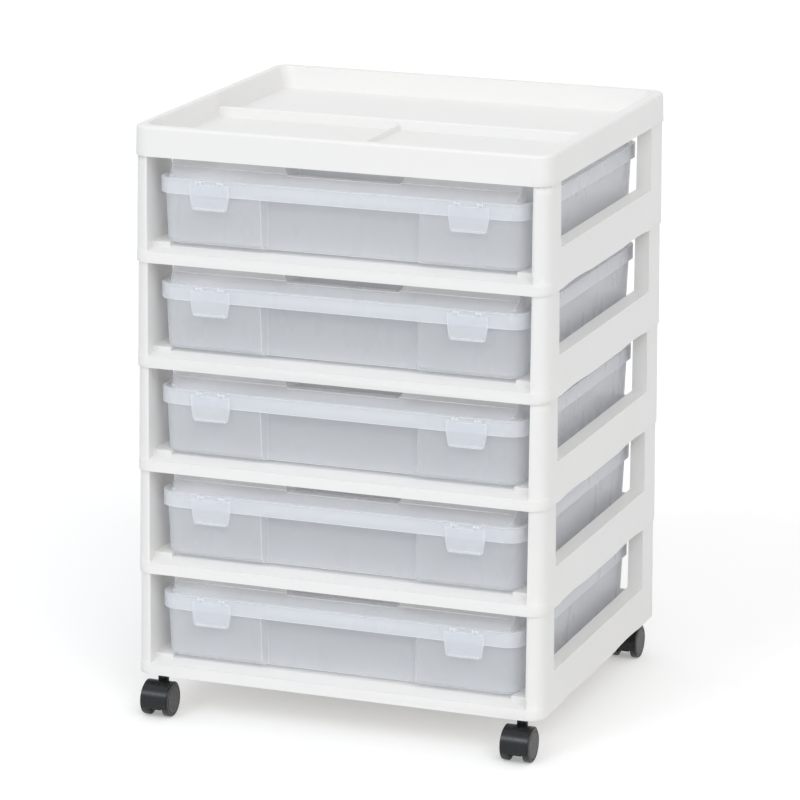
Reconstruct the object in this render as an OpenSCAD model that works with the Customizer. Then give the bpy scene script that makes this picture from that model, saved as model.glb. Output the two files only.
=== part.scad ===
// Rolling storage tower: an open organizer tray on five stacked frames, each holding a
// lidded clear case that slides out to the front, on four swivelling twin-wheel casters.
// Millimetres. +Z is up, the front faces -Y, the origin is on the floor under the middle.

/* [Tower] */
// Outer width of each frame and of the tray at its lower edge
tower_w = 390; // [350:1:470]
// Outer depth of each frame and of the tray at its lower edge
tower_d = 352; // [330:1:430]
// Height of one frame, from its lower edge to the next one's
tier_pitch = 96.1; // [94:0.1:120]
// Outer corner radius of the frames and the tray, seen from above
corner_r = 16; // [14:0.5:20]
// Wall thickness of the frames and the tray
skin_t = 2.2; // [1.8:0.1:2.4]
// How far each outer side leans in from the bottom of a frame to its top
lean = 1.2; // [0.6:0.1:1.6]

/* [Frame] */
// Height of the low band across the front
front_band_h = 10.5; // [8:0.5:11.5]
// How far the front band stands proud of the posts
band_proud = 0.8; // [0.4:0.1:1.2]
// Height of the low wall across the back
back_band_h = 20; // [18:0.5:26]
// Height of the side panels below their windows
side_panel_h = 37; // [28:0.5:50]
// Width of each post, seen from the front
post_w = 15; // [13:0.5:15]
// Depth of the front posts, seen from the side
front_post_d = 37; // [28:1:60]
// Depth of the rear posts, seen from the side
rear_post_d = 47; // [28:1:60]
// How far the front posts' inner walls run back beside the case
inner_fin_d = 58; // [40:1:75]
// Depth of the sloping shelf that leads from the front band up to the floor
shelf_d = 16; // [12:0.5:20]
// Height of the floor's top above the frame's lower edge
floor_z = 14; // [13:0.5:16]
// Height of the two rails that carry the case above the floor
rail_h = 3.5; // [2.5:0.5:5]
// Width of the rails
rail_w = 17; // [14:1:24]
// Height of the plugs that key each post into the frame above
plug_h = 3; // [2:0.5:3.2]
// Height of the two shallow arches in each side panel's lower edge
arch_rise = 1.4; // [0.6:0.1:3]
// Length of each arch along the side panel
arch_len = 76; // [50:1:90]

/* [Tray] */
// Outer height of the tray
tray_h = 27; // [24:0.5:45]
// Height of the tray's floor above its lower edge
tray_floor_z = 6; // [5.8:0.1:8]
// Width of the flat rim round the tray's top
rim_w = 9; // [7:0.5:12]
// Height of the partition that runs from left to right
cross_rib_h = 9.5; // [6:0.5:14]
// Height of the partition that splits the front half
front_rib_h = 6; // [4:0.5:9]
// Thickness of the partitions
rib_t = 3; // [2:0.5:5]

/* [Case] */
// Air between the lid's band and the posts, at each side
side_air = 6.7; // [4:0.1:10]
// How far the lid's band stands behind the front of the frames
front_setback = 5.5; // [5:0.1:12]
// How far the lid's band stands in front of the back of the frames
back_setback = 15.9; // [12:0.1:30]
// Total height of a closed case
case_h = 75; // [72:0.5:77]
// Height of the band's lower edge above the case's bottom
band_low_z = 46; // [42:0.5:48]
// Height of the base's top edge, which carries the lid
base_top_z = 57; // [55:0.5:58]
// Corner radius of the lid's band, seen from above
case_r = 17; // [14:0.5:20]
// Wall thickness of the base and the lid
case_t = 1.8; // [1.4:0.1:1.8]
// Rounding of the base's bottom edges
base_edge_r = 5; // [4:0.5:6]
// How far the base's walls lean out from bottom to top
base_lean = 2.2; // [1.4:0.1:2.6]
// How far the grip in the middle of the base's front is set back
grip_depth = 9; // [5:0.5:12]
// Width of the grip at its back
grip_w = 142; // [110:1:150]
// How far the crown's walls lean in
crown_lean = 3.5; // [2:0.5:5]
// How far the crown's front slopes back up to the edge across it
crown_slope = 8; // [6:0.5:10]
// Height of that edge above the case's bottom
edge_z = 68.6; // [66:0.1:70]
// Width of the dip in the middle of the crown's front
dip_w = 105; // [80:1:130]
// Length of the well behind the dip's front lip, from front to back
well_d = 20; // [12:1:60]
// Depth of the well below the dip
well_deep = 5; // [3:0.5:6]

/* [Latch] */
// Distance of each latch's middle from the side of the lid's band
latch_in = 52.3; // [48:0.1:58]
// Width of a latch where it leaves the band
latch_w = 37; // [32:1:44]
// Height of the latch's lower edge above the case's bottom
latch_low_z = 33.4; // [30:0.1:35]
// Height of the hinge pins above the case's bottom
hinge_z = 57.9; // [57:0.1:58.5]
// Distance between the two knuckles of one latch
knuckle_gap = 21; // [16:0.5:24]
// Width of a knuckle
knuckle_w = 2.8; // [2:0.1:4]
// Radius of the hinge pins moulded on the lid
pin_r = 0.9; // [0.8:0.05:1.1]

/* [Casters] */
// Wheel radius
wheel_r = 15.5; // [14:0.5:17]
// Overall width across both wheels
twin_w = 27.5; // [24:0.5:32]
// Width of the gap between the wheels
wheel_gap = 15; // [12:0.5:16]
// Height of the lowest frame's lower edge above the floor
under_h = 39.3; // [38:0.1:48]
// Distance from the swivel stem to the axle
trail = 8.5; // [6:0.5:11]
// Distance of each stem from the tower's sides
stem_in_x = 21.8; // [21.5:0.1:30]
// Distance of each stem from the tower's front and back
stem_in_y = 14.8; // [14:0.1:24]
// Radius of the steel stem
stem_r = 3; // [2.5:0.25:3]
// Radius of the plastic neck round the stem
neck_r = 5; // [4.5:0.05:5]
// Radius of the axle
axle_r = 1.5; // [1.2:0.1:1.8]
// Thickness of the hood over the wheels
hood_t = 0.9; // [0.8:0.1:1.2]

/* [Which sub-part] */
// Which sub-part to draw

/* [Hidden] */
$fn = 48;
// How far cutters pass a face, and how far joined pieces sink into each other
eps = 0.5;
sink = 1;
weld = 0.01;
// Number of frames; the list of sub-parts above names this many
tiers = 5;
// Radial clearance of the running fits
run_gap = 0.05;
// Clearance between parts that touch at rest
rest_gap = 0.1;
// Radial clearance of the stems and axles in the holes that hold them
held_gap = 0.02;
// Half the tower's width and depth
half_w = tower_w / 2;
half_d = tower_d / 2;
// Inner face of the posts and of the side channels
bay_half = half_w - post_w;
// Outer face of that inner wall
channel_in = bay_half + skin_t;
// Height of the case's bottom above its frame's lower edge
case_z = floor_z + rail_h + rest_gap;
// Where the shelf's slope starts, behind the front band's flat edge, and where it ends
shelf_low_y = -half_d + 1.5;
shelf_y = -half_d + shelf_d;
// How far the front band wraps back round the corners
lip_wrap = corner_r + 4;
// Thickness of the posts' closed tops
post_cap_t = 2;
// Distances of the rails from the frame's front and back
rail_front_in = 13;
rail_back_in = 10;
// Distance of each stop rib from the middle, and its air behind the case
stop_x = 110;
stop_air = 0.2;
// Air round the plugs where they sit inside the frame above
plug_air = 0.6;
// Middles of the two arches, as shares of the tower's depth before and behind the centre
arch_front = 0.26;
arch_back = 0.23;
// How far the tray's walls lean in, how far its inner walls lean, its top edge's rounding
tray_lean = 0.7;
tray_in_lean = 3;
tray_edge_r = 3;
// Distance of the front partition to the left of the middle
front_rib_in = 6;
// Width, depth, front and back of the lid's band, and the middle between those two
lid_w = 2 * (bay_half - side_air);
lid_d = tower_d - front_setback - back_setback;
lid_front = -half_d + front_setback;
lid_back = half_d - back_setback;
lid_mid = (lid_front + lid_back) / 2;
// Air between the base's top edge and the band that hangs round it
lid_air = 1;
base_w = lid_w - 2 * (case_t + lid_air);
base_d = lid_d - 2 * (case_t + lid_air);
base_r = case_r - case_t - lid_air;
// Height of the grip's roof, hidden behind the band
grip_h = base_top_z - 7;
// How much wider the grip is at its mouth than at its back
grip_flare = 8;
// Width and height of the bead round the lid's shoulder
bead_w = 2.4;
bead_h = 0.8;
// How far the crown's foot stands in from the band's outer face
crown_in = 5.5;
crown_w = lid_w - 2 * crown_in;
crown_d = lid_d - 2 * crown_in;
crown_r = case_r - crown_in + 4;
crown_foot_z = base_top_z;
crown_h = case_h - crown_foot_z;
// How far the crown's front slopes back above the edge across it
top_slope = 3;
// How much lower than that edge the dip is, and how far each of its ends slopes out
step_deep = 1.5;
dip_run = 5.5;
dip_z = edge_z - step_deep;
// Front of the dip, and the depth of its lip in front of the well
dip_front = -crown_d / 2 + crown_slope * (dip_z - crown_foot_z) / (edge_z - crown_foot_z);
lip_d = 8.8;
// Size of the pips at the crown's front corners, and their angle round each corner
pip_r = 1.3;
pip_h = 3;
pip_deg = 35;
// Distance of each latch from the middle of the case
latch_x = lid_w / 2 - latch_in;
// Thickness of a latch, its air in front of the band, and its hinge axis
latch_t = 1.8;
latch_air = 0.3;
hinge_y = lid_front - 1.2;
latch_in_y = lid_front - latch_air;
knuckle_r = 1.8;
lug_r = 1.7;
lug_w = 1.3;
notch_air = 0.3;
// Top of the latch's plate, clear of the lugs
latch_top_z = hinge_z - lug_r - 0.3;
// How much a latch narrows towards its lower edge, on each side
latch_taper = 1.8;
// Height of the catch ribs on the base and of the nubs that hook under them
catch_z = base_top_z - 16;
catch_h = 2.5;
catch_w = 24;
catch_air = 0.7;
nub_pitch = 6.5;
nub_w = 3;
nub_reach = 1.4;
// Height of the lip along the latch's lower edge, and how far it stands out
lip_h = 1.8;
lip_out = 1;
// Rounding of the latch's lower corners
latch_r = 2.5;
// Radius of the bosses that take the stems, and the depth of their holes
boss_r = 7.5;
hole_deep = floor_z - skin_t - 1;
// Stem and axle positions
stem_x = half_w - stem_in_x;
stem_y = half_d - stem_in_y;
axle_z = wheel_r;
hood_in_r = wheel_r + 0.35;
hood_out_r = hood_in_r + hood_t;
hood_w = twin_w - 2.6;
web_w = wheel_gap - 1.6;
web_low_z = 9;
neck_top_z = under_h - 0.3;
stem_low_z = axle_z + axle_r + 3.5;
axle_len = twin_w - 5;
wheel_w = (twin_w - wheel_gap) / 2;
// Wheel: edge rounding, tread thickness, ring groove, hub radius, depth of the inner hollow
wheel_soft = 1.4;
tread_t = 2.2;
ring_w = 0.8;
ring_deep = 0.5;
hub_r = axle_r + 3.2;
hollow_deep = 4;
// How far the hood wraps below the axle at the front and at the back, in degrees
hood_front_deg = 19;
hood_back_deg = 8;
// The front wheels reach past the frames, so the tower stands this far behind the origin
front_reach = max(0, stem_y + trail + hood_out_r - half_d);
shift_y = front_reach / 2;

// A block of width w, depth d and corner radius r whose walls grow outwards by grow over h
module leaning_block(w, d, r, h, grow) {
  x = w / 2 - r;
  y = d / 2 - r;
  for (sx = [-1, 1]) for (sy = [-1, 1]) {
    translate([sx * x, sy * y, 0])
      cylinder(h = h, r1 = r, r2 = r + grow);
  }
  rotate([90, 0, 0])
    linear_extrude(height = 2 * y, center = true)
      polygon([[-w / 2, 0], [w / 2, 0], [w / 2 + grow, h], [-w / 2 - grow, h]]);
  rotate([90, 0, 90])
    linear_extrude(height = 2 * x, center = true)
      polygon([[-d / 2, 0], [d / 2, 0], [d / 2 + grow, h], [-d / 2 - grow, h]]);
}

// A straight block with rounded corners, seen from above
module round_block(w, d, r, h) {
  linear_extrude(height = h) round_rect(w, d, r);
}

// A rectangle with rounded corners
module round_rect(w, d, r) {
  square([w - 2 * r, d], center = true);
  square([w, d - 2 * r], center = true);
  for (sx = [-1, 1]) for (sy = [-1, 1]) {
    translate([sx * (w / 2 - r), sy * (d / 2 - r)]) circle(r = r);
  }
}

// A tub blank: rounded bottom edges of radius e, corner radius r, walls that grow outwards
module tub_blank(w, d, r, e, h, grow) {
  x = w / 2 - r;
  y = d / 2 - r;
  translate([0, 0, e]) leaning_block(w, d, r, h - e, grow);
  round_block(w - 2 * e, d - 2 * e, r - e, e + weld);
  for (s = [-1, 1]) {
    translate([s * (w / 2 - e), 0, e]) rotate([90, 0, 0])
      cylinder(h = 2 * y, r = e, center = true);
    translate([0, s * (d / 2 - e), e]) rotate([0, 90, 0])
      cylinder(h = 2 * x, r = e, center = true);
  }
  for (sx = [-1, 1]) for (sy = [-1, 1]) {
    translate([sx * x, sy * y, e])
      rotate_extrude() translate([r - e, 0]) intersection() {
        circle(r = e);
        translate([-(r - e), -e]) square([r, e]);
      }
  }
}

// Draws what stands on the +X side again on the -X side
module both_sides() {
  children();
  mirror([1, 0, 0]) children();
}

// One stacking frame, drawn with its lower edge at z = 0
module tier_frame() {
  body_d = tower_d - band_proud;
  body_y = band_proud / 2;
  top_z = tier_pitch - post_cap_t;
  color([0.95, 0.95, 0.95]) union() {
    difference() {
      union() {
        difference() {
          union() {
            translate([0, body_y, 0])
              leaning_block(tower_w, body_d, corner_r, tier_pitch, -lean);
            front_lip();
          }
          frame_voids(body_d, body_y, top_z);
        }
        both_sides() stem_bosses();
      }
      bay_cut();
      both_sides() window_cut();
      both_sides() arch_cuts();
      both_sides() stem_holes();
    }
    both_sides() rail();
    both_sides() stop_rib();
    both_sides() post_plugs();
  }
}

// The front band's outer face, a little proud of the posts and wrapped round the corners
module front_lip() {
  share = front_band_h / tier_pitch;
  intersection() {
    leaning_block(tower_w, tower_d, corner_r, front_band_h, -lean * share);
    translate([-half_w, -half_d, 0]) cube([tower_w, lip_wrap, front_band_h]);
  }
}

// Hollows: under the floor, inside the side channels and inside the posts
module frame_voids(body_d, body_y, top_z) {
  in_w = tower_w - 2 * skin_t;
  in_d = body_d - 2 * skin_t;
  share = top_z / tier_pitch;
  intersection() {
    translate([0, body_y, 0])
      leaning_block(in_w, in_d, corner_r - skin_t, top_z, -lean * share);
    union() {
      rotate([90, 0, 90]) linear_extrude(height = 2 * channel_in + 2 * eps, center = true)
        polygon([
          [-half_d, -1],
          [-half_d, front_band_h - skin_t],
          [shelf_low_y + skin_t, front_band_h - skin_t],
          [shelf_y + skin_t, floor_z - skin_t],
          [half_d, floor_z - skin_t],
          [half_d, -1]
        ]);
      both_sides() translate([channel_in, -half_d, -1])
        cube([post_w, tower_d, side_panel_h - skin_t + 1]);
      both_sides() translate([channel_in, -half_d, -1])
        cube([post_w, front_post_d - skin_t, tier_pitch]);
      both_sides() translate([channel_in, half_d - rear_post_d + skin_t, -1])
        cube([post_w, rear_post_d, tier_pitch]);
    }
  }
}

// The bay for the case, open at the front and at the back above the low walls
module bay_cut() {
  rotate([90, 0, 90]) linear_extrude(height = 2 * bay_half, center = true)
    polygon([
      [-half_d - eps, tier_pitch + eps],
      [-half_d - eps, front_band_h],
      [shelf_low_y, front_band_h],
      [shelf_y, floor_z],
      [half_d - skin_t, floor_z],
      [half_d - skin_t, back_band_h],
      [half_d + eps, back_band_h],
      [half_d + eps, tier_pitch + eps]
    ]);
}

// The window in one side: outer skin and ledge first, then the inner wall
module window_cut() {
  win_front = -half_d + front_post_d;
  win_back = half_d - rear_post_d;
  translate([channel_in - weld, win_front, side_panel_h])
    cube([post_w, win_back - win_front, tier_pitch]);
  translate([bay_half - eps, -half_d + inner_fin_d, side_panel_h])
    cube([skin_t + 2 * eps, win_back - (-half_d + inner_fin_d), tier_pitch]);
}

// Two shallow arches in the lower edge of one side panel
module arch_cuts() {
  arc_r = (arch_len * arch_len / 4 + arch_rise * arch_rise) / (2 * arch_rise);
  for (y = [-arch_front * tower_d, arch_back * tower_d])
    translate([half_w - corner_r / 2, y, arch_rise - arc_r]) rotate([0, 90, 0])
      cylinder(h = corner_r, r = arc_r, $fn = 360);
}

// A rail under one side of the case
module rail() {
  translate([bay_half - rail_w, -half_d + rail_front_in, floor_z - sink])
    cube([rail_w + eps, tower_d - rail_front_in - rail_back_in, rail_h + sink]);
}

// A rib behind the case that stops it
module stop_rib() {
  rib_y = lid_back - case_t - lid_air - base_lean + stop_air;
  translate([stop_x, rib_y, floor_z - sink])
    cube([skin_t, half_d - skin_t / 2 - rib_y, back_band_h - floor_z + sink]);
}

// Bosses under the floor, one for each caster's stem
module stem_bosses() {
  for (s = [-1, 1])
    translate([stem_x, s * stem_y, 0]) cylinder(h = floor_z - sink, r = boss_r);
}

// The blind holes in the bosses that hold the stems
module stem_holes() {
  for (s = [-1, 1])
    translate([stem_x, s * stem_y, -eps]) cylinder(h = hole_deep + eps, r = stem_r + held_gap);
}

// Plugs on top of one side's posts that key into the frame or tray above
module post_plugs() {
  x = bay_half + skin_t / 2;
  w = half_w - lean - skin_t - plug_air - x;
  beside = corner_r + skin_t + plug_air;
  translate([x, -half_d + corner_r, tier_pitch - sink])
    cube([w, front_post_d - beside, plug_h + sink]);
  translate([x, half_d - rear_post_d + skin_t + plug_air, tier_pitch - sink])
    cube([w, rear_post_d - beside, plug_h + sink]);
}

// The open tray on top, drawn with its lower edge at z = 0
module organizer_top() {
  in_w = tower_w - 2 * skin_t;
  in_d = tower_d - 2 * skin_t;
  well_top_w = tower_w - 2 * (tray_lean + rim_w);
  well_top_d = tower_d - 2 * (tray_lean + rim_w);
  low_w = well_top_w - 2 * tray_in_lean;
  low_d = well_top_d - 2 * tray_in_lean;
  low_r = corner_r - rim_w + 2;
  color([0.95, 0.95, 0.95]) union() {
    difference() {
      tray_outside();
      translate([0, 0, tray_floor_z])
        leaning_block(low_w, low_d, low_r, tray_h - tray_floor_z + eps, tray_in_lean);
      difference() {
        translate([0, 0, -eps])
          leaning_block(in_w, in_d, corner_r - skin_t, tray_h - skin_t + eps, -tray_lean);
        leaning_block(
          low_w + 2 * skin_t, low_d + 2 * skin_t, low_r + skin_t, tray_h, tray_in_lean
        );
      }
      translate([0, 0, -eps])
        round_block(in_w, in_d, corner_r - skin_t, tray_floor_z - skin_t + eps);
    }
    cross_rib(low_w);
    front_rib(low_d / 2);
  }
}

// The tray's outer form, with its top edge rounded over
module tray_outside() {
  wall_h = tray_h - tray_edge_r;
  top_w = tower_w - 2 * tray_lean;
  top_d = tower_d - 2 * tray_lean;
  leaning_block(tower_w, tower_d, corner_r, wall_h, -tray_lean);
  translate([0, 0, tray_h]) mirror([0, 0, 1])
    tub_blank(top_w, top_d, corner_r - tray_lean, tray_edge_r, tray_edge_r + 2 * sink, 0);
}

// The partition from left to right
module cross_rib(length) {
  translate([-length / 2 - sink, -rib_t / 2, tray_floor_z - sink])
    cube([length + 2 * sink, rib_t, cross_rib_h + sink - rib_t / 2]);
  translate([0, 0, tray_floor_z + cross_rib_h - rib_t / 2]) rotate([0, 90, 0])
    cylinder(h = length + sink, r = rib_t / 2, center = true);
}

// The partition that splits the front half
module front_rib(length) {
  translate([-front_rib_in - rib_t / 2, -length - sink, tray_floor_z - sink])
    cube([rib_t, length + sink, front_rib_h + sink - rib_t / 2]);
  translate([-front_rib_in, 0, tray_floor_z + front_rib_h - rib_t / 2]) rotate([90, 0, 0])
    cylinder(h = length + sink, r = rib_t / 2);
}

// The grip's plan outline, cut into the base's front, grown by g for the inside
module grip_block(g, h) {
  front = lid_front + case_t + lid_air;
  mouth = (grip_w + grip_flare) / 2 + g;
  back = grip_w / 2 + g;
  past = 6;
  spread = past * grip_flare / (2 * grip_depth);
  linear_extrude(height = h) polygon([
    [-mouth - spread, front - past],
    [-back, front + grip_depth + g],
    [back, front + grip_depth + g],
    [mouth + spread, front - past]
  ]);
}

// A case's open base, drawn with its bottom at z = 0
module case_base() {
  low_w = base_w - 2 * base_lean;
  low_d = base_d - 2 * base_lean;
  in_top_h = base_top_z - case_t + eps;
  color([0.86, 0.88, 0.92, 0.55]) union() {
    difference() {
      translate([0, lid_mid, 0])
        tub_blank(low_w, low_d, base_r, base_edge_r, base_top_z, base_lean);
      difference() {
        translate([0, lid_mid, case_t]) tub_blank(
            low_w - 2 * case_t, low_d - 2 * case_t, base_r - case_t,
            base_edge_r - case_t, in_top_h, base_lean
          );
        translate([0, 0, -sink]) grip_block(case_t, grip_h + case_t + sink);
      }
      translate([0, 0, -sink]) grip_block(0, grip_h + sink);
    }
    both_sides() catch_rib();
  }
}

// The rib on the base's front that a latch hooks under
module catch_rib() {
  translate([latch_x - catch_w / 2, lid_front + catch_air, catch_z])
    cube([catch_w, case_t + lid_air + sink - catch_air, catch_h]);
}

// A case's lid: band, shoulder with its bead, crown with its dip, and the hinge pins
module case_lid() {
  color([0.9, 0.92, 0.95, 0.6]) union() {
    difference() {
      union() {
        difference() {
          lid_outside();
          lid_inside();
        }
        both_sides() hinge_lugs();
      }
      both_sides() knuckle_notches();
    }
    both_sides() hinge_pins();
    both_sides() corner_pips();
  }
}

// The lid's outer form: band, shoulder with its bead, and the crown
module lid_outside() {
  translate([0, lid_mid, 0]) {
    translate([0, 0, band_low_z])
      round_block(lid_w, lid_d, case_r, base_top_z + case_t - band_low_z);
    difference() {
      translate([0, 0, base_top_z])
        round_block(lid_w, lid_d, case_r, case_t + bead_h);
      translate([0, 0, base_top_z]) round_block(
          lid_w - 2 * bead_w, lid_d - 2 * bead_w, case_r - bead_w, 2 * case_t + bead_h
        );
    }
    difference() {
      crown_block(0, 0);
      dip_block(0);
    }
  }
}

// The lid's hollow: room for the base's edge, then the crown without the dip
module lid_inside() {
  translate([0, lid_mid, 0]) {
    translate([0, 0, band_low_z - eps]) round_block(
        lid_w - 2 * case_t, lid_d - 2 * case_t, case_r - case_t,
        base_top_z - band_low_z + eps
      );
    difference() {
      crown_block(case_t, eps);
      dip_block(case_t);
    }
  }
}

// The crown's form, its walls moved in by g and its foot lowered by drop
module crown_block(g, drop) {
  front = -crown_d / 2 + g;
  foot_z = crown_foot_z - drop;
  intersection() {
    translate([0, 0, foot_z]) leaning_block(
        crown_w - 2 * g, crown_d - 2 * g, crown_r - g, crown_h - g + drop, -crown_lean
      );
    rotate([90, 0, 90]) linear_extrude(height = lid_w, center = true) polygon([
      [front - eps, foot_z],
      [front + crown_slope, edge_z - g / 2],
      [front + crown_slope + top_slope, case_h + eps],
      [lid_d, case_h + eps],
      [lid_d, foot_z]
    ]);
  }
}

// The dip across the middle of the crown's front and the well in it, both grown by g
module dip_block(g) {
  well_front = dip_front + lip_d - g;
  back = well_front + well_d + 2 * g;
  translate([0, back, 0]) rotate([90, 0, 0])
    linear_extrude(height = back + crown_d / 2 + 2 * sink) polygon([
      [-dip_w / 2 - g, dip_z - g],
      [dip_w / 2 + g, dip_z - g],
      [dip_w / 2 + dip_run + g, case_h + eps],
      [-dip_w / 2 - dip_run - g, case_h + eps]
    ]);
  translate([-dip_w / 2 - g, well_front, dip_z - well_deep - g])
    cube([dip_w + 2 * g, well_d + 2 * g, well_deep + eps]);
}

// Places its children at one latch's two knuckles, on the hinge axis
module at_knuckles() {
  for (s = [-1, 1])
    translate([latch_x + s * knuckle_gap / 2, hinge_y, hinge_z]) rotate([0, 90, 0])
      children();
}

// Lugs either side of each knuckle
module hinge_lugs() {
  reach = knuckle_w + 2 * notch_air + 2 * lug_w;
  at_knuckles() cylinder(h = reach, r = lug_r, center = true);
}

// Room for the knuckles to turn in
module knuckle_notches() {
  at_knuckles()
    cylinder(h = knuckle_w + 2 * notch_air, r = knuckle_r + notch_air, center = true);
}

// The pins the knuckles turn on
module hinge_pins() {
  reach = knuckle_w + 2 * notch_air + lug_w;
  at_knuckles() cylinder(h = reach, r = pin_r, center = true);
}

// A small pip at each front corner of the crown's foot
module corner_pips() {
  translate([
    crown_w / 2 - crown_r, lid_front + crown_in + crown_r, crown_foot_z + case_t / 2
  ]) rotate([0, 0, pip_deg]) translate([0, -crown_r, 0])
    cylinder(h = case_t / 2 + pip_h, r = pip_r);
}

// One latch, drawn on the +X side: knuckles, plate, lower lip and the nubs that hook
module latch() {
  top_half = latch_w / 2;
  low_half = top_half - latch_taper;
  color([0.92, 0.94, 0.96, 0.65]) difference() {
    union() {
      translate([latch_x, latch_in_y, 0]) rotate([90, 0, 0])
        linear_extrude(height = latch_t) {
          polygon([
            [-top_half, latch_top_z],
            [-top_half, band_low_z],
            [-low_half, latch_low_z + latch_r],
            [low_half, latch_low_z + latch_r],
            [top_half, band_low_z],
            [top_half, latch_top_z]
          ]);
          translate([-low_half + latch_r, latch_low_z])
            square([2 * low_half - 2 * latch_r, latch_r + eps]);
          for (s = [-1, 1])
            translate([s * (low_half - latch_r), latch_low_z + latch_r]) circle(r = latch_r);
        }
      translate([
        latch_x - low_half + latch_r, latch_in_y - latch_t - lip_out, latch_low_z
      ]) cube([2 * low_half - 2 * latch_r, lip_out + eps, lip_h]);
      at_knuckles() cylinder(h = knuckle_w, r = knuckle_r, center = true);
      for (s = [-1, 1])
        translate([
          latch_x + s * knuckle_gap / 2 - knuckle_w / 2,
          latch_in_y - latch_t,
          latch_top_z - sink
        ]) cube([knuckle_w, latch_t, hinge_z - latch_top_z + eps]);
      for (i = [-1, 0, 1])
        translate([
          latch_x + i * nub_pitch - nub_w / 2,
          latch_in_y - latch_t / 2,
          catch_z - rest_gap - catch_h
        ]) cube([nub_w, latch_t / 2 + nub_reach, catch_h]);
    }
    at_knuckles() cylinder(h = knuckle_w + 2 * eps, r = pin_r + run_gap, center = true);
  }
}

// A caster's steel stem, from the hood's neck up into the frame's boss
module caster_stem() {
  color([0.6, 0.6, 0.62])
    translate([0, 0, stem_low_z])
      cylinder(h = under_h + hole_deep - rest_gap - stem_low_z, r = stem_r);
}

// The caster's body: neck, hood over the treads and the web between the wheels
module caster_hood() {
  color([0.08, 0.08, 0.09]) difference() {
    union() {
      hood_shell();
      translate([0, -trail, axle_z]) rotate([0, 90, 0])
        cylinder(h = web_w, r = hood_in_r + hood_t / 2, center = true);
      cylinder(h = neck_top_z, r = neck_r);
    }
    translate([0, -trail, axle_z]) rotate([0, 90, 0])
      cylinder(h = hood_w, r = axle_r + held_gap, center = true);
    translate([0, 0, stem_low_z - rest_gap])
      cylinder(h = under_h, r = stem_r + run_gap);
    wheel_room();
    web_relief();
  }
}

// The curved shell of the hood
module hood_shell() {
  translate([0, -trail, axle_z]) rotate([0, 90, 0]) difference() {
    cylinder(h = hood_w, r = hood_out_r, center = true);
    cylinder(h = hood_w + 2 * eps, r = hood_in_r, center = true);
    hood_mouth();
  }
}

// What is cut from the hood's underside: a wedge between its two lower edges
module hood_mouth() {
  far = 2 * hood_out_r;
  f = hood_front_deg;
  b = hood_back_deg;
  linear_extrude(height = hood_w + 4 * eps, center = true) polygon([
    [0, 0],
    [far * sin(f), -far * cos(f)],
    [far, -far * cos(f)],
    [far, far * cos(b)],
    [far * sin(b), far * cos(b)]
  ]);
}

// Room for both wheels beside the web
module wheel_room() {
  for (s = [-1, 1])
    translate([s * (web_w / 2 + twin_w / 2), -trail, axle_z]) rotate([0, 90, 0])
      cylinder(h = twin_w, r = hood_in_r, center = true);
}

// Keeps the web and the neck clear of the floor
module web_relief() {
  translate([-twin_w, -trail - 2 * wheel_r, -2 * sink])
    cube([2 * twin_w, 5 * wheel_r, web_low_z + 2 * sink]);
}

// The axle through the web and into both wheels
module caster_axle() {
  color([0.6, 0.6, 0.62])
    translate([0, -trail, axle_z]) rotate([0, 90, 0])
      cylinder(h = axle_len, r = axle_r, center = true);
}

// One wheel, drawn on the +X side of the web: closed outer disc, blind hole for the axle
module wheel() {
  rim_in = wheel_r - tread_t;
  bore = axle_r + run_gap;
  bore_deep = axle_len / 2 - wheel_gap / 2 + rest_gap;
  color([0.08, 0.08, 0.09])
    translate([wheel_gap / 2, -trail, axle_z]) rotate([0, 90, 0]) difference() {
      union() {
        cylinder(h = wheel_w - wheel_soft, r = wheel_r);
        cylinder(h = wheel_w, r = wheel_r - wheel_soft);
        translate([0, 0, wheel_w - wheel_soft]) rotate_extrude()
          translate([wheel_r - wheel_soft, 0]) circle(r = wheel_soft);
      }
      translate([0, 0, -eps]) cylinder(h = bore_deep + eps, r = bore);
      translate([0, 0, wheel_w - ring_deep]) difference() {
        cylinder(h = ring_deep + eps, r = rim_in);
        cylinder(h = 3 * wheel_w, r = rim_in - ring_w, center = true);
      }
      translate([0, 0, -eps]) difference() {
        cylinder(h = hollow_deep + eps, r = rim_in - tread_t / 2);
        cylinder(h = 3 * wheel_w, r = hub_r, center = true);
      }
    }
}

// Lifts its children to frame n's lower edge, with the tower in its place
module at_tier(n) {
  translate([0, shift_y, under_h + (n - 1) * tier_pitch]) children();
}

// Lifts its children to the bottom of case n
module at_case(n) {
  at_tier(n) translate([0, 0, case_z]) children();
}

// Places its children at the caster in the corner given by sx and sy
module at_caster(sx, sy) {
  translate([sx * stem_x, shift_y + sy * stem_y, 0]) children();
}

at_tier(tiers + 1) organizer_top();
at_tier(1) tier_frame();  // tier_frame_1
at_tier(2) tier_frame();  // tier_frame_2
at_tier(3) tier_frame();  // tier_frame_3
at_tier(4) tier_frame();  // tier_frame_4
at_tier(5) tier_frame();  // tier_frame_5
at_case(1) case_base();  // case_base_1
at_case(2) case_base();  // case_base_2
at_case(3) case_base();  // case_base_3
at_case(4) case_base();  // case_base_4
at_case(5) case_base();  // case_base_5
at_case(1) case_lid();  // case_lid_1
at_case(2) case_lid();  // case_lid_2
at_case(3) case_lid();  // case_lid_3
at_case(4) case_lid();  // case_lid_4
at_case(5) case_lid();  // case_lid_5
at_case(1) mirror([1, 0, 0]) latch();  // latch_left_1
at_case(2) mirror([1, 0, 0]) latch();  // latch_left_2
at_case(3) mirror([1, 0, 0]) latch();  // latch_left_3
at_case(4) mirror([1, 0, 0]) latch();  // latch_left_4
at_case(5) mirror([1, 0, 0]) latch();  // latch_left_5
at_case(1) latch();  // latch_right_1
at_case(2) latch();  // latch_right_2
at_case(3) latch();  // latch_right_3
at_case(4) latch();  // latch_right_4
at_case(5) latch();  // latch_right_5
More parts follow.
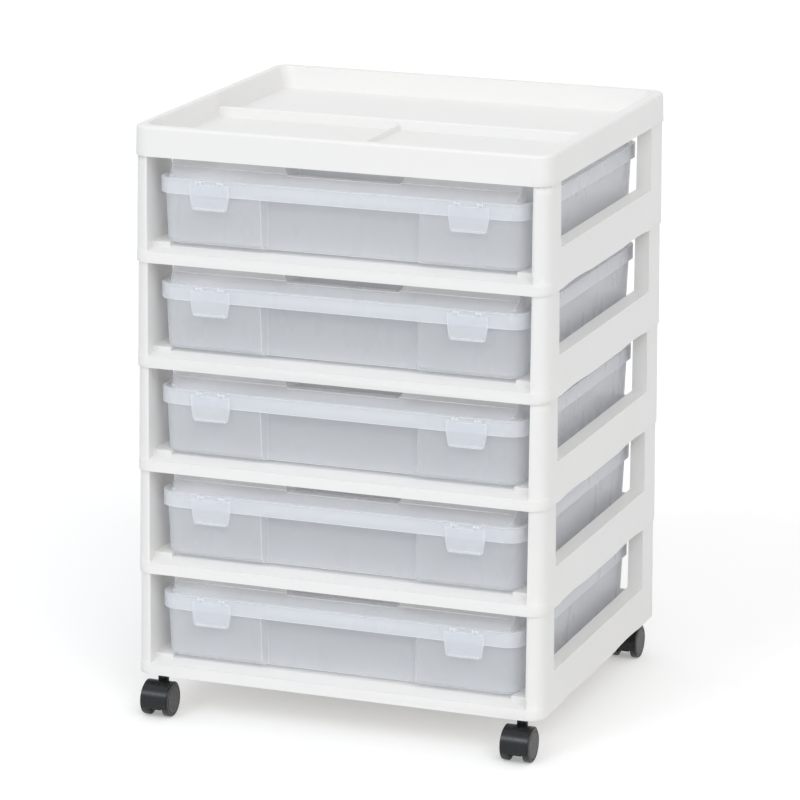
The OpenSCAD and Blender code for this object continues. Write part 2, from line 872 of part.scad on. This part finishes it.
at_caster(-1, -1) caster_stem();  // caster_stem_fl
at_caster(1, -1) caster_stem();  // caster_stem_fr
at_caster(-1, 1) caster_stem();  // caster_stem_bl
at_caster(1, 1) caster_stem();  // caster_stem_br
at_caster(-1, -1) caster_hood();  // caster_hood_fl
at_caster(1, -1) caster_hood();  // caster_hood_fr
at_caster(-1, 1) caster_hood();  // caster_hood_bl
at_caster(1, 1) caster_hood();  // caster_hood_br
at_caster(-1, -1) caster_axle();  // caster_axle_fl
at_caster(1, -1) caster_axle();  // caster_axle_fr
at_caster(-1, 1) caster_axle();  // caster_axle_bl
at_caster(1, 1) caster_axle();  // caster_axle_br
at_caster(-1, -1) mirror([1, 0, 0]) wheel();  // wheel_left_fl
at_caster(1, -1) mirror([1, 0, 0]) wheel();  // wheel_left_fr
at_caster(-1, 1) mirror([1, 0, 0]) wheel();  // wheel_left_bl
at_caster(1, 1) mirror([1, 0, 0]) wheel();  // wheel_left_br
at_caster(-1, -1) wheel();  // wheel_right_fl
at_caster(1, -1) wheel();  // wheel_right_fr
at_caster(-1, 1) wheel();  // wheel_right_bl
at_caster(1, 1) wheel();  // wheel_right_br
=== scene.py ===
"""Looks of the rolling storage drawer tower: materials, softened edges, floor, light, camera.

Everything is in metres, in the same frame as the CAD part: +Z up, the front faces -Y.
"""

import math

import bpy
from mathutils import Matrix, Vector


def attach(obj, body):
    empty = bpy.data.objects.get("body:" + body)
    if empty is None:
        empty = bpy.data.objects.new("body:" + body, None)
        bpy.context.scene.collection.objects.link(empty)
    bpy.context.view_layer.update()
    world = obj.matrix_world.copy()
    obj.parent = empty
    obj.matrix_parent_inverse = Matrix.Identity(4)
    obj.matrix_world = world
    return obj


MM = 0.001

# The photograph's camera, in the row frame
VIEW_AZIMUTH = 20.159
VIEW_ELEVATION = 14.419
VIEW_ROLL = 0.396
VIEW_DISTANCE = 3773.3 * MM
VIEW_TARGET = Vector((-3.51 * MM, 4.28 * MM, 272.77 * MM))
FOCAL_PIXELS = 4089.96
IMAGE_PIXELS = 800
SENSOR_MM = 36.0

# Sizes repeated from the CAD part, in millimetres
TIER_PITCH = 96.1
UNDER = 39.3
CASE_LOW = 17.6
# Where a lid's middle lies, from front to back
LID_MID = 0.025

# The line across each lid where its crown turns back, as points (x, y, height) on the right half,
# from the lid's middle and above the case's bottom
CROWN_LINE = [
    (52.5, -152.83, 67.1),
    (53.5, -151.8, 68.6),
    (108.0, -151.8, 68.6),
    (162.6, -151.8, 68.6),
]
BEAD_RADIUS = 0.5
TIERS = 5

# Rounding of the moulded edges, and how sharp an edge has to be to get it
FRAME_EDGE = 0.9 * MM
CASE_EDGE = 0.55 * MM
LATCH_EDGE = 0.35 * MM
CASTER_EDGE = 0.5 * MM
SHARP_DEGREES = 38
WELD = 0.02 * MM

# Share of a lamp's light that one wall lets on, scattered or straight
FROST_PASS = 0.8
WHITE_PASS = 0.62

# How far from an edge the painted highlight whitens frosted plastic, and how fast it gets there
CASE_GLINT = 1.3 * MM
LATCH_GLINT = 0.7 * MM
GLINT_GAIN = 5.0

# Index of refraction of polypropylene
PLASTIC_IOR = 1.49

# Floor and room: how far the floor runs each way, what it adds for the camera, the room's light
FLOOR_HALF = 9.0
FLOOR_GLOW = 0.3
ROOM_COLOUR = (0.985, 0.99, 1.0)
ROOM_LIGHT = 0.67

# Suns: azimuth, elevation, strength, spread in degrees, colour
SUNS = {
    "key": (36, 42, 0.98, 34, (1.0, 0.99, 0.965)),
    "strip": (-22, 39, 0.57, 18, (0.89, 0.95, 1.0)),
}

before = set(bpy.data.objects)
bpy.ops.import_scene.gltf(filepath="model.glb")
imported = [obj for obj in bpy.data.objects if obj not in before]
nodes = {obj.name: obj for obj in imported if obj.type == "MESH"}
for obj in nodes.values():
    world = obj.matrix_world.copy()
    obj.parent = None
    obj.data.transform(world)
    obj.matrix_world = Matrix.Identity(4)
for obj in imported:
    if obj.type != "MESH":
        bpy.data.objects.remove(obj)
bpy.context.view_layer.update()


# ---------------------------------------------------------------- materials


def new_material(name):
    """An empty node material with its output, and its node tree."""
    mat = bpy.data.materials.new(name)
    mat.use_nodes = True
    tree = mat.node_tree
    tree.nodes.clear()
    out = tree.nodes.new("ShaderNodeOutputMaterial")
    return mat, tree, out


def add(tree, kind, inputs=None, **settings):
    """Adds a node, sets its settings, and sets or links its inputs by name."""
    node = tree.nodes.new(kind)
    for key, value in settings.items():
        setattr(node, key, value)
    for key, value in (inputs or {}).items():
        if isinstance(value, bpy.types.NodeSocket):
            tree.links.new(value, node.inputs[key])
        else:
            node.inputs[key].default_value = value
    return node


def noise(tree, scale, detail=3.0, rough=0.5, stretch=(1, 1, 1)):
    """Noise in the object's own coordinates, stretched along its axes."""
    coord = add(tree, "ShaderNodeTexCoord")
    place = add(tree, "ShaderNodeMapping", {"Vector": coord.outputs["Object"], "Scale": stretch})
    tex = add(
        tree,
        "ShaderNodeTexNoise",
        {"Vector": place.outputs["Vector"], "Scale": scale, "Detail": detail, "Roughness": rough},
    )
    return tex.outputs["Fac"]


def ramp(tree, fac, low, high, start=0.3, end=0.7):
    """Maps a 0..1 value onto low..high between start and end."""
    node = add(
        tree,
        "ShaderNodeMapRange",
        {"Value": fac, "From Min": start, "From Max": end, "To Min": low, "To Max": high},
    )
    return node.outputs["Result"]


def colour_mix(tree, fac, first, second):
    """A colour between first and second."""
    node = add(tree, "ShaderNodeMix", data_type="RGBA")
    tree.links.new(fac, node.inputs["Factor"])
    for key, value in ((6, first), (7, second)):
        if isinstance(value, bpy.types.NodeSocket):
            tree.links.new(value, node.inputs[key])
        else:
            node.inputs[key].default_value = (*value, 1)
    return node.outputs[2]


def bump(tree, height, strength, distance, normal=None):
    """A bump from a height value."""
    node = add(
        tree,
        "ShaderNodeBump",
        {"Height": height, "Strength": strength, "Distance": distance},
    )
    if normal is not None:
        tree.links.new(normal, node.inputs["Normal"])
    return node.outputs["Normal"]


def edge_mask(tree, radius, gain):
    """How near a point is to a moulded edge, 0..1, from how a rounded normal leaves the face."""
    round_off = add(tree, "ShaderNodeBevel", {"Radius": radius}, samples=4)
    face = add(tree, "ShaderNodeNewGeometry")
    dot = add(
        tree,
        "ShaderNodeVectorMath",
        {0: round_off.outputs["Normal"], 1: face.outputs["Normal"]},
        operation="DOT_PRODUCT",
    )
    return ramp(tree, dot.outputs["Value"], 1, 0, 1 - 1 / gain, 1)


def lamp_share(tree, share):
    """That share for rays towards a lamp, else 0: the light that soaks through a thin wall."""
    path = add(tree, "ShaderNodeLightPath")
    passed = add(
        tree, "ShaderNodeMath", {0: path.outputs["Is Shadow Ray"], 1: share}, operation="MULTIPLY"
    )
    return passed.outputs[0]


def principled(tree, inputs):
    """A Principled shader with these inputs."""
    return add(tree, "ShaderNodeBsdfPrincipled", inputs).outputs["BSDF"]


def blend(tree, fac, first, second):
    """A mix of two shaders; fac is a number or a socket."""
    return add(tree, "ShaderNodeMixShader", {"Fac": fac, 1: first, 2: second}).outputs[0]


def shown(tree):
    """1 for rays from the camera, through glass or off gloss, which see the plain background."""
    path = add(tree, "ShaderNodeLightPath")
    seen = path.outputs["Is Camera Ray"]
    for kind in ("Is Transmission Ray", "Is Glossy Ray"):
        seen = add(
            tree, "ShaderNodeMath", {0: seen, 1: path.outputs[kind]}, operation="MAXIMUM"
        ).outputs[0]
    return seen


def white_plastic():
    """Satin white polypropylene: faint clouding, a fine moulded skin and uneven gloss."""
    mat, tree, out = new_material("white_plastic")
    clouds = noise(tree, 9.0, 4.0)
    skin = noise(tree, 900.0, 2.0, 0.6)
    flow = noise(tree, 28.0, 3.0, 0.5, (1, 1, 0.35))
    base = colour_mix(tree, ramp(tree, clouds, 0, 1), (0.905, 0.91, 0.915), (0.93, 0.933, 0.936))
    ripple = bump(tree, flow, 0.25, 0.0006)
    fine = bump(tree, skin, 0.12, 0.00015, ripple)
    face = principled(
        tree,
        {
            "Base Color": base,
            "Roughness": ramp(tree, flow, 0.36, 0.48),
            "Normal": fine,
            "Specular IOR Level": 0.4,
            "IOR": PLASTIC_IOR,
        },
    )
    glow = add(tree, "ShaderNodeBsdfTranslucent", {"Color": (0.93, 0.9, 0.85, 1), "Normal": fine})
    body = blend(tree, ramp(tree, clouds, 0.16, 0.22), face, glow.outputs[0])
    hole = add(tree, "ShaderNodeBsdfTransparent", {"Color": (1.0, 0.95, 0.89, 1)})
    whole = blend(tree, lamp_share(tree, WHITE_PASS), body, hole.outputs[0])
    tree.links.new(whole, out.inputs["Surface"])
    return mat


def frosted_plastic(name, tint, rim, clear, haze, glint=CASE_GLINT):
    """Frosted see-through plastic: hazy walls that pass light on, and a painted highlight that
    whitens the colour towards rim near an edge.
    """
    mat, tree, out = new_material(name)
    clouds = noise(tree, 14.0, 4.0)
    skin = noise(tree, 1200.0, 2.0, 0.6)
    flow = noise(tree, 40.0, 2.0, 0.5, (1, 1, 0.5))
    edge = edge_mask(tree, glint, GLINT_GAIN)
    turned = add(tree, "ShaderNodeLayerWeight", {"Blend": 0.3})
    light = tuple(min(1, c * 1.012) for c in tint)
    wall = colour_mix(tree, ramp(tree, clouds, 0, 1), tint, light)
    # Painted highlight: near a moulded edge the colour turns to rim, whiter than the wall
    base = colour_mix(tree, edge, wall, rim)
    ripple = bump(tree, flow, 0.05, 0.0004)
    fine = bump(tree, skin, 0.1, 0.0001, ripple)
    face = principled(
        tree,
        {
            "Base Color": base,
            "Roughness": ramp(tree, flow, 0.24, 0.36),
            "Normal": fine,
            "Specular IOR Level": 0.5,
            "IOR": PLASTIC_IOR,
        },
    )
    glow = add(tree, "ShaderNodeBsdfTranslucent", {"Color": base, "Normal": fine})
    body = blend(tree, haze, face, glow.outputs[0])
    hole = add(tree, "ShaderNodeBsdfTransparent", {"Color": (0.985, 0.99, 0.995, 1)})
    seen = ramp(tree, clouds, clear - 0.012, clear + 0.012)
    dense = add(tree, "ShaderNodeMath", {0: edge, 1: turned.outputs["Facing"]}, operation="MAXIMUM")
    rest = ramp(tree, dense.outputs[0], 1, 0.1, 0, 1)
    through = add(tree, "ShaderNodeMath", {0: seen, 1: rest}, operation="MULTIPLY")
    passed = lamp_share(tree, FROST_PASS)
    through = add(tree, "ShaderNodeMath", {0: through.outputs[0], 1: passed}, operation="MAXIMUM")
    whole = blend(tree, through.outputs[0], body, hole.outputs[0])
    tree.links.new(whole, out.inputs["Surface"])
    return mat


def black_plastic():
    """Glossy black nylon with light dust."""
    mat, tree, out = new_material("black_plastic")
    dust = noise(tree, 260.0, 5.0, 0.65)
    swirl = noise(tree, 60.0, 3.0)
    dusty = ramp(tree, dust, 0, 1, 0.6, 0.85)
    base = colour_mix(tree, dusty, (0.006, 0.007, 0.009), (0.03, 0.03, 0.033))
    face = principled(
        tree,
        {
            "Base Color": base,
            "Roughness": ramp(tree, dust, 0.25, 0.34),
            "Normal": bump(tree, swirl, 0.06, 0.0003),
            "Specular IOR Level": 0.4,
        },
    )
    tree.links.new(face, out.inputs["Surface"])
    return mat


def wheel_plastic():
    """Black tread with a dusty grey outer disc, told apart by which way the surface faces."""
    mat, tree, out = new_material("wheel_plastic")
    coord = add(tree, "ShaderNodeTexCoord")
    split = add(tree, "ShaderNodeSeparateXYZ", {"Vector": coord.outputs["Normal"]})
    side = add(tree, "ShaderNodeMath", {0: split.outputs["X"]}, operation="ABSOLUTE")
    disc = ramp(tree, side.outputs[0], 0, 1, 0.75, 0.95)
    dust = noise(tree, 320.0, 5.0, 0.7)
    much = ramp(tree, dust, 0, 1, 0.35, 0.7)
    little = ramp(tree, dust, 0, 1, 0.5, 0.8)
    disc_colour = colour_mix(tree, much, (0.045, 0.044, 0.046), (0.12, 0.115, 0.115))
    tread_colour = colour_mix(tree, little, (0.012, 0.012, 0.013), (0.04, 0.04, 0.04))
    face = principled(
        tree,
        {
            "Base Color": colour_mix(tree, disc, tread_colour, disc_colour),
            "Roughness": ramp(tree, disc, 0.38, 0.55, 0, 1),
            "Normal": bump(tree, dust, 0.2, 0.0002),
            "IOR": 1.5,
        },
    )
    tree.links.new(face, out.inputs["Surface"])
    return mat


def steel():
    """Turned steel: fine rings round the pin and a slightly worn gloss."""
    mat, tree, out = new_material("steel")
    rings = noise(tree, 500.0, 2.0, 0.5, (0.2, 0.2, 6))
    face = principled(
        tree,
        {
            "Base Color": colour_mix(
                tree, ramp(tree, rings, 0, 1), (0.5, 0.5, 0.52), (0.62, 0.62, 0.63)
            ),
            "Metallic": 1.0,
            "Roughness": ramp(tree, rings, 0.25, 0.4),
            "Normal": bump(tree, rings, 0.2, 0.0001),
        },
    )
    tree.links.new(face, out.inputs["Surface"])
    return mat


# ---------------------------------------------------------------- CAD nodes


def dress(node, material):
    """Gives a CAD node its material."""
    slots = nodes[node].data.materials
    slots.clear()
    slots.append(material)


def soften(node, width):
    """Rounds a CAD node's moulded edges with modifiers; the mesh itself stays as imported."""
    obj = nodes[node]
    weld = obj.modifiers.new("weld", "WELD")
    weld.merge_threshold = WELD
    bevel = obj.modifiers.new("soft edges", "BEVEL")
    bevel.width = width
    bevel.segments = 2
    bevel.limit_method = "ANGLE"
    bevel.angle_limit = math.radians(SHARP_DEGREES)
    bevel.use_clamp_overlap = True
    bevel.harden_normals = True
    bevel.miter_outer = "MITER_SHARP"


def even_normals(node):
    """Lets a CAD node's big faces set its shading, so a highlight runs the drum's whole length."""
    even = nodes[node].modifiers.new("even shading", "WEIGHTED_NORMAL")
    even.keep_sharp = True


FROST_TINT = (0.9, 0.915, 0.945)

whites = white_plastic()
# Each frosted plastic's second colour is the painted highlight that its edges turn to
base_frost = frosted_plastic("frosted_base", (0.88, 0.893, 0.92), (0.99, 0.99, 0.995), 0.55, 0.4)
lid_frost = frosted_plastic("frosted_lid", FROST_TINT, (0.99, 0.993, 1.0), 0.5, 0.36)
latch_frost = frosted_plastic(
    "frosted_latch", FROST_TINT, (0.97, 0.975, 0.985), 0.6, 0.36, LATCH_GLINT
)
# The crown beads get a whiter, denser frost than the lids: a painted highlight along the crown line
bead_highlight_frost = frosted_plastic("frosted_bead_highlight", (0.97, 0.98, 0.99), (1.0, 1.0, 1.0), 0.14, 0.3)
blacks = black_plastic()
wheels = wheel_plastic()
pins = steel()

for name in sorted(nodes):
    if name.startswith(("tier_frame", "organizer_top")):
        dress(name, whites)
        soften(name, FRAME_EDGE)
    elif name.startswith("case_base"):
        dress(name, base_frost)
        soften(name, CASE_EDGE)
    elif name.startswith("case_lid"):
        dress(name, lid_frost)
        soften(name, CASE_EDGE)
    elif name.startswith("latch"):
        dress(name, latch_frost)
        soften(name, LATCH_EDGE)
    elif name.startswith("wheel"):
        dress(name, wheels)
        soften(name, CASTER_EDGE)
    elif name.startswith("caster_hood"):
        dress(name, blacks)
        soften(name, CASTER_EDGE)
        even_normals(name)
    else:
        dress(name, pins)
        soften(name, CASTER_EDGE)


# ---------------------------------------------------------------- added detail

def case_bottom(n):
    """Height of case n's bottom above the floor, in millimetres."""
    return UNDER + (n - 1) * TIER_PITCH + CASE_LOW


def tube(name, points, radius, material, body, sides=8):
    """A thin moulded bead along an open line of points in millimetres, riding on a body."""
    path = [Vector(p) * MM for p in points]
    verts, faces = [], []
    for i, here in enumerate(path):
        ahead = (path[min(i + 1, len(path) - 1)] - path[max(i - 1, 0)]).normalized()
        side = ahead.cross(Vector((0, 0, 1))).normalized()
        up = side.cross(ahead)
        for k in range(sides):
            turn = 2 * math.pi * k / sides
            verts.append(here + (side * math.cos(turn) + up * math.sin(turn)) * radius * MM)
    for i in range(len(path) - 1):
        for k in range(sides):
            a, b = i * sides + k, i * sides + (k + 1) % sides
            faces.append((a, b, b + sides, a + sides))
    faces.append(tuple(range(sides)))
    faces.append(tuple(range((len(path) - 1) * sides, len(path) * sides))[::-1])
    mesh = bpy.data.meshes.new(name)
    mesh.from_pydata(verts, [], faces)
    mesh.polygons.foreach_set("use_smooth", [True] * len(mesh.polygons))
    mesh.materials.append(material)
    obj = bpy.data.objects.new(name, mesh)
    bpy.context.scene.collection.objects.link(obj)
    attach(obj, body)


for n in range(1, TIERS + 1):
    low = case_bottom(n)
    right = [(x, y + LID_MID, low + z) for x, y, z in CROWN_LINE]
    left = [(-x, y, z) for x, y, z in reversed(right)]
    tube(f"crown_bead_{n}", left + right, BEAD_RADIUS, bead_highlight_frost, f"case_{n}")


# ---------------------------------------------------------------- floor, light, camera


def floor_material():
    """A pale floor that is white to the camera and still keeps the shadow."""
    mat, tree, out = new_material("pale_floor")
    grain = noise(tree, 3.0, 2.0)
    base = colour_mix(tree, grain, (0.78, 0.78, 0.78), (0.8, 0.8, 0.8))
    face = add(tree, "ShaderNodeBsdfDiffuse", {"Color": base})
    glow = add(tree, "ShaderNodeEmission", {"Color": (1, 1, 1, 1), "Strength": FLOOR_GLOW})
    lit = add(tree, "ShaderNodeAddShader", {0: face.outputs[0], 1: glow.outputs[0]})
    whole = blend(tree, shown(tree), face.outputs[0], lit.outputs[0])
    tree.links.new(whole, out.inputs["Surface"])
    return mat


def build_floor():
    """The floor: a wide sheet that the wheels stand on."""
    half = FLOOR_HALF
    mesh = bpy.data.meshes.new("floor")
    corners = [(-half, -half, 0), (half, -half, 0), (half, half, 0), (-half, half, 0)]
    mesh.from_pydata(corners, [], [(0, 1, 2, 3)])
    floor = bpy.data.objects.new("floor", mesh)
    bpy.context.scene.collection.objects.link(floor)
    mesh.materials.append(floor_material())


def build_world():
    """A white room: white to the camera, softer on what it lights."""
    world = bpy.data.worlds.new("studio")
    bpy.context.scene.world = world
    world.use_nodes = True
    tree = world.node_tree
    tree.nodes.clear()
    out = tree.nodes.new("ShaderNodeOutputWorld")
    room = add(tree, "ShaderNodeBackground", {"Color": (*ROOM_COLOUR, 1), "Strength": ROOM_LIGHT})
    white = add(tree, "ShaderNodeBackground", {"Color": (1, 1, 1, 1), "Strength": 1.0})
    whole = blend(tree, shown(tree), room.outputs[0], white.outputs[0])
    tree.links.new(whole, out.inputs["Surface"])


def sun(name, azimuth, elevation, strength, spread, colour):
    """A soft sun shining from that azimuth and elevation."""
    lamp = bpy.data.lights.new(name, "SUN")
    lamp.energy = strength
    lamp.angle = math.radians(spread)
    lamp.color = colour
    obj = bpy.data.objects.new(name, lamp)
    bpy.context.scene.collection.objects.link(obj)
    obj.matrix_world = Matrix.Translation((0, 0, 2)) @ view_basis(azimuth, elevation, 0).to_4x4()


def view_basis(azimuth, elevation, roll):
    """Right, up and backward axes of something at that azimuth and elevation, looking in."""
    a, e, r = (math.radians(v) for v in (azimuth, elevation, roll))
    back = Vector((math.sin(a) * math.cos(e), -math.cos(a) * math.cos(e), math.sin(e)))
    right = Vector((math.cos(a), math.sin(a), 0))
    up = back.cross(right)
    turned_right = right * math.cos(r) + up * math.sin(r)
    turned_up = up * math.cos(r) - right * math.sin(r)
    return Matrix((turned_right, turned_up, back)).transposed()


def build_camera():
    """The photograph's camera."""
    data = bpy.data.cameras.new("photo_camera")
    data.sensor_width = SENSOR_MM
    data.lens = FOCAL_PIXELS * SENSOR_MM / IMAGE_PIXELS
    data.clip_end = 100
    camera = bpy.data.objects.new("photo_camera", data)
    bpy.context.scene.collection.objects.link(camera)
    basis = view_basis(VIEW_AZIMUTH, VIEW_ELEVATION, VIEW_ROLL)
    place = VIEW_TARGET + basis.col[2] * VIEW_DISTANCE
    camera.matrix_world = Matrix.Translation(place) @ basis.to_4x4()
    bpy.context.scene.camera = camera


build_floor()
build_world()
for lamp_name, settings in SUNS.items():
    sun(lamp_name, *settings)
build_camera()
bpy.context.scene.view_settings.view_transform = "Standard"
